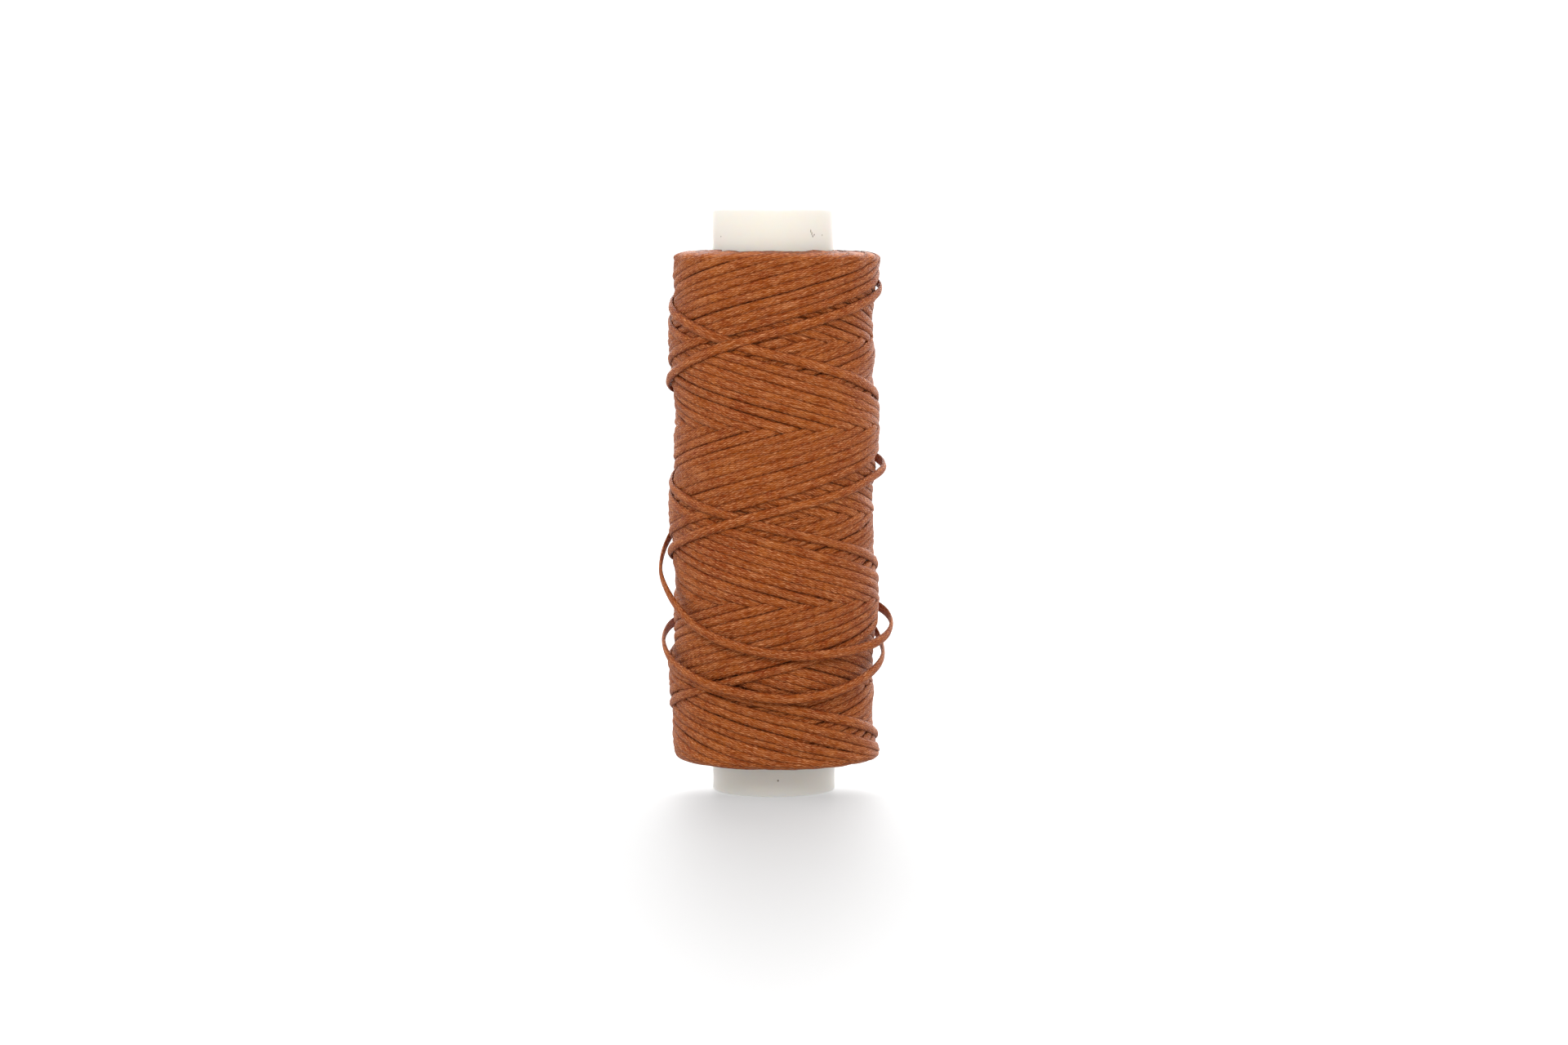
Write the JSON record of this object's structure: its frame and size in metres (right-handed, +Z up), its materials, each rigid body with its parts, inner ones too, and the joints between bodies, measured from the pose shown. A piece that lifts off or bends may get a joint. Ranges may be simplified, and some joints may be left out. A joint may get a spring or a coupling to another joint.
{
  "type": "waxed thread spool",
  "caption": "Plain plastic core tube cross-wound with waxed flat braided thread, its last turns hanging slack round the winding.",
  "frame": {"origin": "centre of the core tube's bottom face, which is the face that the spool stands on", "axes": "+Z up along the core tube's axis; +X to the right and -Y towards the side on which the slack turns sag"},
  "size_m": [0.0323, 0.0304, 0.08],
  "materials": {
    "core_plastic": "smooth moulded, satin",
    "waxed_thread": "flat braid, waxed, soft sheen"
  },
  "bodies": {
    "root": {"core_tube": "core_plastic", "winding_layer_1": "waxed_thread", "winding_layer_2": "waxed_thread", "winding_layer_3": "waxed_thread", "winding_layer_4": "waxed_thread", "winding_layer_5": "waxed_thread", "winding_layer_6": "waxed_thread", "outer_layer": "waxed_thread", "loose_turns": "waxed_thread"}
  },
  "joints": []
}
